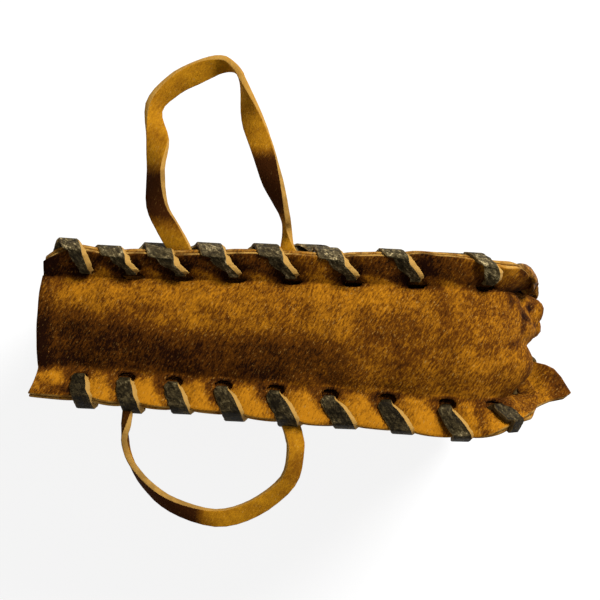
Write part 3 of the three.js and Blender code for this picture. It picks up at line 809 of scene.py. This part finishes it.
# A flat band of leather along a path: every lace and strap.
def band_tree():
    group = bpy.data.node_groups.new("leather_band", "GeometryNodeTree")
    face = group.interface
    face.new_socket("Geometry", in_out="INPUT", socket_type="NodeSocketGeometry")
    for name in ("Width", "Thickness", "Skive", "Ragged", "Shaded_Edge"):
        face.new_socket(name, in_out="INPUT", socket_type="NodeSocketFloat")
    face.new_socket("Material", in_out="INPUT", socket_type="NodeSocketMaterial")
    face.new_socket("Geometry", in_out="OUTPUT", socket_type="NodeSocketGeometry")
    t = Tree(group)
    given = {s.name: s for s in t.node("NodeGroupInput").outputs}

    def attribute(name, kind):
        return t.node("GeometryNodeInputNamedAttribute", {"data_type": kind},
                      {"Name": name}).outputs[0]

    def store(geometry, name, kind, value, domain="POINT"):
        return t.node("GeometryNodeStoreNamedAttribute", {"data_type": kind, "domain": domain},
                      {"Geometry": geometry, "Name": name, "Value": value}).outputs[0]

    def moved(operation, first, second):
        key = "Scale" if operation == "SCALE" else 1
        return t.node("ShaderNodeVectorMath", {"operation": operation},
                      {0: first, key: second}).outputs[0]

    # the path, and a flat profile with one skived edge
    curve = t.node("GeometryNodeMeshToCurve", None, {0: given["Geometry"]}).outputs[0]
    curve = t.node("GeometryNodeCurveSplineType", {"spline_type": "CATMULL_ROM"},
                   {0: curve}).outputs[0]
    curve = t.node("GeometryNodeSetSplineResolution", None,
                   {"Geometry": curve, "Resolution": 4}).outputs[0]
    position = t.node("GeometryNodeInputPosition").outputs[0]
    curve = store(curve, "spot", "FLOAT_VECTOR", position)
    width = Value(t, given["Width"])
    skive = Value(t, given["Skive"])
    profile = t.node("GeometryNodeCurvePrimitiveQuadrilateral", {"mode": "TRAPEZOID"}, {
        "Bottom Width": width, "Top Width": width - skive.size(), "Offset": skive * -0.5,
        "Height": given["Thickness"]}).outputs[0]
    profile = t.node("GeometryNodeFilletCurve", {"mode": "POLY"}, {
        "Curve": profile, "Count": 2, "Radius": Value(t, given["Thickness"]) * 0.16}).outputs[0]
    flat = t.node("ShaderNodeSeparateXYZ", None, {0: position})
    profile = store(profile, "across", "FLOAT", flat.outputs[0])
    profile = store(profile, "up", "FLOAT", flat.outputs[1])
    # each point goes to its own place across the band, as the path's faces turn
    swept = t.node("GeometryNodeCurveToMesh", None, {
        "Curve": curve, "Profile Curve": profile, "Fill Caps": True}).outputs[0]
    place = moved("ADD", attribute("spot", "FLOAT_VECTOR"), moved(
        "SCALE", attribute("wide", "FLOAT_VECTOR"), Value(t, attribute("across", "FLOAT"))))
    place = moved("ADD", place, moved(
        "SCALE", attribute("face", "FLOAT_VECTOR"), Value(t, attribute("up", "FLOAT"))))
    swept = t.node("GeometryNodeSetPosition", None,
                   {"Geometry": swept, "Position": place}).outputs[0]
    # raw cut edges, the one away from the skive kept the face's dark colour as painted shade, and a
    # ragged surface
    across = Value(t, attribute("across", "FLOAT"))
    flat = width * 0.5 - skive.size() * 0.8 - Value(t, given["Thickness"]) * 0.1
    bare = (flat < across.size()) * (1 - (across * skive < 0) * Value(t, given["Shaded_Edge"]))
    marked = store(swept, "cut", "FLOAT", bare, "FACE")
    wear = t.value("ShaderNodeTexNoise", None, {"Vector": position, "Scale": 900.0, "Detail": 2.0})
    normal = t.node("GeometryNodeInputNormal").outputs[0]
    away = moved("SCALE", normal, (wear - 0.5) * Value(t, given["Ragged"]))
    wear_and_edge_shade = t.node("GeometryNodeSetPosition", None,
                  {"Geometry": marked, "Offset": away}).outputs[0]
    solid = t.node("GeometryNodeRealizeInstances", None, {0: wear_and_edge_shade}).outputs[0]
    done = t.node("GeometryNodeSetMaterial", None,
                  {"Geometry": solid, "Material": given["Material"]}).outputs[0]
    t.node("NodeGroupOutput", None, {0: done})
    return group


def make_band(name, path, material, tree, width, thick, skive, ragged, wear_and_edge_shade=0.0):
    """A band along a path of places, the way its face looks there and its width across."""
    mesh = bmesh.new()
    face = mesh.verts.layers.float_vector.new("face")
    across = mesh.verts.layers.float_vector.new("wide")
    before = None
    for place, normal, wide in path:
        v = mesh.verts.new(place * MM)
        v[face] = Vector(normal).normalized()
        v[across] = Vector(wide) / width
        if before:
            mesh.edges.new((before, v))
        before = v
    piece = finished(name, mesh)
    band = piece.modifiers.new("band", "NODES")
    band.node_group = tree
    ids = {i.name: i.identifier for i in tree.interface.items_tree if i.in_out == "INPUT"}
    sizes = {"Width": width, "Thickness": thick, "Skive": skive, "Ragged": ragged}
    for key, value in sizes.items():
        band[ids[key]] = value * MM
    band[ids["Shaded_Edge"]] = wear_and_edge_shade
    band[ids["Material"]] = material
    bake_modifiers(piece)
    mesh = bmesh.new()
    mesh.from_mesh(piece.data)
    bmesh.ops.recalc_face_normals(mesh, faces=mesh.faces)
    mesh.to_mesh(piece.data)
    mesh.free()
    piece.data.polygons.foreach_set("use_smooth", [True] * len(piece.data.polygons))
    piece.data.set_sharp_from_angle(angle=math.radians(50))
    return piece


class Finish(Tree):
    """A leather material: a Principled shader and what feeds it."""

    def __init__(self, name):
        self.material = bpy.data.materials.new(name)
        self.material.use_nodes = True
        super().__init__(self.material.node_tree)
        self.shader = self.tree.nodes["Principled BSDF"]
        self.place = self.node("ShaderNodeTexCoord").outputs["Object"]

    def noise(self, size, stretch=1.0, turn=0.0, detail=2.0, shift=0.0):
        """Noise with features of that size in mm, longer along a line turned in the plan."""
        vector = self.node("ShaderNodeMapping", {"vector_type": "TEXTURE"}, {
            "Vector": self.place, "Location": (shift, shift, shift),
            "Rotation": (0, 0, math.radians(turn)),
            "Scale": (stretch, 1.0, math.sqrt(stretch))}).outputs[0]
        return self.value("ShaderNodeTexNoise", None, {
            "Vector": vector, "Scale": 1 / (size * MM), "Detail": detail, "Roughness": 0.6})

    def attribute(self, name):
        return self.value("ShaderNodeAttribute", {"attribute_name": name}, output="Fac")

    def colours(self, value, stops):
        return self.node("ShaderNodeValToRGB", {"stops": stops}, {"Fac": value}).outputs[0]

    def mix(self, share, first, second):
        made = self.node("ShaderNodeMix", {"data_type": "RGBA"}, {"Factor": share})
        for name, value in (("A", first), ("B", second)):
            socket = next(s for s in made.inputs if s.name == name and s.type == "RGBA")
            if isinstance(value, bpy.types.NodeSocket):
                self.tree.links.new(value, socket)
            else:
                socket.default_value = (*value, 1.0)
        return next(s for s in made.outputs if s.type == "RGBA")

    def surface(self, colour, roughness, height, depth, gloss):
        """Joins what was made to the shader, with a nap of that depth in mm."""
        self.tree.links.new(colour, self.shader.inputs["Base Color"])
        self.tree.links.new(roughness.socket, self.shader.inputs["Roughness"])
        bump = self.node("ShaderNodeBump", None, {
            "Strength": 0.8, "Distance": depth * MM, "Height": height})
        self.tree.links.new(bump.outputs[0], self.shader.inputs["Normal"])
        self.shader.inputs["Specular IOR Level"].default_value = gloss
        return self.material


RAW_EDGE = (0.3, 0.165, 0.036)
NAP_TIP = (0.33, 0.18, 0.04)
OCHRE = ((0.008, 0.0018, 0.0003), (0.07, 0.021, 0.0012), (0.29, 0.112, 0.004))  # dark to light
PALE_OCHRE = ((0.03, 0.008, 0.001), (0.14, 0.05, 0.002), (0.34, 0.15, 0.005))


def suede(name, dark, middle, light, shift, grain=1.0, raw=0.15):
    """Brushed suede: streaks of nap, blotches, light tips, and raw leather at the cut edges."""
    f = Finish(name)
    nap = f.noise(0.75, stretch=3.0, turn=62, detail=3, shift=shift)
    fibre = f.noise(0.3, stretch=2.5, turn=55, detail=2, shift=shift + 3)
    blotch = f.noise(7.0, detail=4, shift=shift + 5)
    cloud = f.noise(26.0, detail=2, shift=shift + 9)
    # painted light and shade from the nap attribute, and painted shade round the holes
    painted_light_and_tone = f.attribute("nap")
    painted_hole_shade = f.attribute("press")
    streak = 0.9 * grain * nap + 0.45 * grain * fibre + 0.67 * (1 - grain)
    tone = streak + 0.5 * blotch + 0.35 * cloud - 0.62 + painted_light_and_tone - 0.34 * painted_hole_shade
    colour = f.colours(tone, [(0.12, dark), (0.42, middle), (0.78, light)])
    tips = f.noise(0.6, stretch=3.0, turn=60, detail=1, shift=shift + 15).ramp(0.64, 0.76)
    colour = f.mix(tips * (0.14 + 0.36 * tone.ramp(0.15, 0.45)), colour, NAP_TIP)
    bare = f.noise(5.0, detail=3, shift=shift + 12).ramp(0.4, 0.62)
    colour = f.mix(f.attribute("cut") * (raw + (0.85 - raw) * bare), colour, RAW_EDGE)
    return f.surface(colour, 0.86 + 0.12 * fibre, nap * 0.7 + fibre * 0.5, 0.45, gloss=0.03)


def worn_grain(name):
    """Dark grain leather, scuffed grey-olive, with tan cut edges and a rough ochre back."""
    f = Finish(name)
    pore = f.noise(0.5, detail=3)
    scuff = f.noise(1.1, stretch=2.2, turn=-50, detail=4, shift=4)
    patch = f.noise(6.0, detail=2, shift=8)
    tone = 0.8 * scuff + 0.55 * pore + 0.45 * patch - 0.4 + f.attribute("nap")
    colour = f.colours(tone, [(0.34, (0.006, 0.004, 0.0012)), (0.52, (0.034, 0.024, 0.009)),
                              (0.64, (0.085, 0.064, 0.028)), (0.76, (0.34, 0.26, 0.13))])
    rough_side = f.colours(tone, [(0.34, OCHRE[0]), (0.5, OCHRE[1]), (0.7, OCHRE[2])])
    colour = f.mix(f.attribute("flesh") * 0.85, colour, rough_side)
    colour = f.mix(f.attribute("cut") * 0.9, colour, RAW_EDGE)
    return f.surface(colour, 0.5 + 0.3 * scuff, scuff * 0.6 + pore * 0.4, 0.5, gloss=0.06)


def paint(piece, material, **looks):
    """Gives a piece its material and named looks over its points, such as painted light and shade.
    """
    data = piece.data
    data.materials.clear()
    data.materials.append(material)
    co = np.empty(3 * len(data.vertices), np.float32)
    data.vertices.foreach_get("co", co)
    for name, look in looks.items():
        layer = data.attributes.new(name, "FLOAT", "POINT")
        layer.data.foreach_set("value", look(co.reshape(-1, 3) / MM).astype(np.float32))


def stage():
    mesh = bmesh.new()
    bmesh.ops.create_grid(mesh, x_segments=1, y_segments=1, size=FLOOR_HALF)
    floor = finished("floor", mesh)
    pale = Finish("pale_floor")
    pale.shader.inputs["Base Color"].default_value = (0.9, 0.9, 0.9, 1)
    pale.shader.inputs["Roughness"].default_value = 0.9
    rays = pale.node("ShaderNodeLightPath").outputs
    seen = Value(pale, rays["Is Camera Ray"])
    for kind in ("Is Glossy Ray", "Is Transmission Ray"):
        seen = seen + Value(pale, rays[kind])
    white = pale.node("ShaderNodeEmission", None, {"Strength": 1.0}).outputs[0]
    mixed = pale.node("ShaderNodeMixShader", None, {
        0: seen * FLOOR_GLOW, 1: pale.shader.outputs[0], 2: white})
    pale.tree.links.new(mixed.outputs[0], pale.tree.nodes["Material Output"].inputs["Surface"])
    floor.data.materials.append(pale.material)


def lamp(name, place, aim, size, power):
    light = bpy.data.lights.new(name, "AREA")
    light.shape, light.size, light.energy = "DISK", size, power
    holder = bpy.data.objects.new(name, light)
    holder.location = place
    holder.rotation_euler = (Vector(aim) - Vector(place)).to_track_quat("-Z", "Y").to_euler()
    bpy.context.scene.collection.objects.link(holder)


def studio():
    scene = bpy.context.scene
    scene.view_settings.view_transform = "Standard"
    world = bpy.data.worlds.new("studio")
    world.use_nodes = True
    back = world.node_tree.nodes["Background"]
    back.inputs["Color"].default_value = (1, 1, 1, 1)
    back.inputs["Strength"].default_value = WORLD_LIGHT
    scene.world = world
    for name, spot, size, power in LAMPS:
        lamp(name, spot, LIT_SPOT, size, power)


def photo_camera():
    camera = bpy.data.cameras.new("camera")
    camera.lens = CAMERA_LENS
    camera.sensor_width = SENSOR
    away = VIEW_WIDTH * CAMERA_LENS / SENSOR
    holder = bpy.data.objects.new("camera", camera)
    holder.location = Vector((*CAMERA_CENTRE, VIEW_PLANE + away)) * MM
    holder.rotation_euler = (0, 0, math.radians(CAMERA_ROLL))
    bpy.context.scene.collection.objects.link(holder)
    bpy.context.scene.camera = holder


def dress(piece, slot, *nodes):
    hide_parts(*nodes)
    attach(piece, "root")


# Painted light and shade, with a few plain tone shifts, kept in each piece's nap attribute: how
# much lighter, or below 0 darker, each spot of a piece is coloured.
def strip_painted_light(p):
    x, y, z = p.T
    half = half_depth(x)
    near = smooth(z, NEAR_Z - 6, NEAR_Z)
    before_corner = 1 - smooth(x, 60, 85)
    # belly: painted shade along its front half, which turns away from the light, painted light
    # under the back seam and at the right end, and one darker diagonal band
    dusk = -3 - 4 * (1 - smooth(x, -94, -40))
    low = smooth(-y, dusk, dusk + 9) * (1 - smooth(-y, half - 3, half + 1))
    low = low * (1 - smooth(x, -10, 45))
    dark_band = hump(x - 0.45 * (26 - y), 58, 3.5) * smooth(y, 8, 15)
    right = smooth(x, 40, 90)
    # back allowance: painted shadow of the stitches above a line that climbs from each stitch to
    # the next, painted light below that line and on the bottom corner
    knots = np.add.outer(HOLES[BACK][:SIDE_HOLES] + MOUTH_X, (-1.5, 5.0)).ravel()
    line = half + np.interp(x, knots, np.tile((-1.5, 4.0), SIDE_HOLES))
    back_edge = smooth(y, line, line + 2.5) * before_corner * (1 - 0.75 * hump(x, 11, 8))
    slope = smooth(y, half - 1, half + 1) * (1 - back_edge) * before_corner
    crest = hump(y, half - 5, 5) * (1 - back_edge) * (1 - smooth(x, 40, 80))
    corner = smooth(x, 72, 84) * smooth(y, half - 2, half + 3)
    # front allowance: painted light, with a painted shadow before each stitch
    front_edge = smooth(-y, half, half + 3)
    rise = np.clip((-y - half - 3) / 9, 0, 1)
    beside = x[:, None] - MOUTH_X - crossings(FRONT, rise[:, None])
    shade = np.max(hump(beside, -6, 2.4), 1) * front_edge
    # mouth: painted shade along its rim, where the strip turns away from the light, and a fold at
    # its front corner painted as a shadow under a painted highlight
    bowed = MOUTH_BOW * (1 - (y / (DEPTH_MOUTH / 2 + FLANGE_MOUTH)) ** 2)
    rim = 1 - smooth(x - MOUTH_X + bowed, 2, 8)
    fold = hump(x, -88, 7) * (hump(y, -27, 2.5) - 0.4 * hump(y, -21.5, 2))
    # bottom: painted shade in the creases behind the crushed corner
    crease_shade = smooth(x, 88, 93) * np.maximum(0, rough(p, 5.0, 1.7)) * smooth(y, -4, 4)
    crease_shade = crease_shade * smooth(z, NEAR_Z - 56, NEAR_Z - 40)
    lit = 0.27 * front_edge + 0.09 * crest + 0.14 * corner + 0.16 * slope
    painted_shade = 0.32 * shade + 0.27 * low + 0.23 * back_edge + 0.2 * rim + 0.3 * fold + 0.15 * dark_band
    return 0.02 * right + near * (lit - painted_shade) - 0.6 * crease_shade


def ear_light_and_shade(p):
    """The loose ear is lighter at its root and has painted shade at its tip."""
    x, y, _ = p.T
    return 0.08 * smooth(x, 96, 99) - 0.24 * smooth(x + 0.4 * y, 102, 107)


# Painted shade across both legs of the upper strap, where it twists away from the light; the whole
# strap a little lighter.
def upper_strap_painted_shade(p):
    x, y, _ = p.T
    left = smooth(y, 36, 48) * (1 - smooth(y, 58, 67)) * (x < -40)
    right = smooth(y, 44, 54) * (1 - smooth(y, 66, 76)) * (x > -20)
    return 0.12 - 0.62 * left - 0.7 * right


# Painted shade on the left of the lower loop, which faces away from the light; the strap a little
# lighter, and darker on its right leg.
def lower_strap_painted_shade(p):
    x, y, _ = p.T
    left = smooth(-y, 52, 60) * (1 - smooth(x, -36, -27))
    left = left + 0.6 * (x < -58) * (1 - smooth(-y, 46, 52))
    return 0.14 - 0.7 * left - 0.08 * smooth(x, -4, 4)


def flesh_side(p):
    """1 where a twisted back lace shows its rough side, at the bottom corner."""
    x, y, z = p.T
    return smooth(x, 93, 97) * smooth(z, NEAR_Z - 50, NEAR_Z - 40) * (y > 0)


def even_tone(tone):
    return lambda p: np.full(len(p), tone)


stage()
studio()
photo_camera()

gusset_suede = suede("ochre_suede", *OCHRE, shift=0.0)
panel_suede = suede("panel_suede", *OCHRE, shift=2.0)
strap_suede = suede("strap_suede", *PALE_OCHRE, shift=6.0, grain=0.5, raw=0.6)
lace_leather = worn_grain("lace_leather")
SEAMS = (("front", FRONT), ("back", BACK))
LACE_TONE = {FRONT: -0.08, BACK: 0.03}
STRAP_PAINTED_SHADE = {"upper_strap": upper_strap_painted_shade, "lower_strap": lower_strap_painted_shade}

gusset = make_gusset()
paint(gusset, gusset_suede, nap=strip_painted_light)
dress(gusset, "gusset_suede", "gusset")

for name, side in SEAMS:
    panel = make_panel(name + "_panel_suede", side)
    paint(panel, panel_suede, nap=ear_light_and_shade)
    dress(panel, "panel_suede", name + "_panel")

bands = band_tree()
# the laces' unskived cut edges mostly keep the dark face colour as painted shade
for name, side in SEAMS:
    lace = make_band(name + "_lace_leather", lace_path(side), lace_leather, bands,
                     LACE_WIDTH, LACE_LOOK, LACE_SKIVE, ragged=0.9, wear_and_edge_shade=0.85)
    paint(lace, lace_leather, nap=even_tone(LACE_TONE[side]), flesh=flesh_side)
    dress(lace, "lace_leather", name + "_lace")

for name, strap in STRAPS.items():
    band = make_band(name + "_suede", strap_path(**strap), strap_suede, bands,
                     strap["width"], STRAP_THICK, skive=0.0, ragged=0.4)
    holes = [HOLES[strap["side"]][hole] for hole, _ in strap["feet"]]
    punch(band, strap["side"], holes, STRAP_OFF + STRAP_THICK)
    paint(band, strap_suede, nap=STRAP_PAINTED_SHADE[name])
    dress(band, "strap_suede", name)
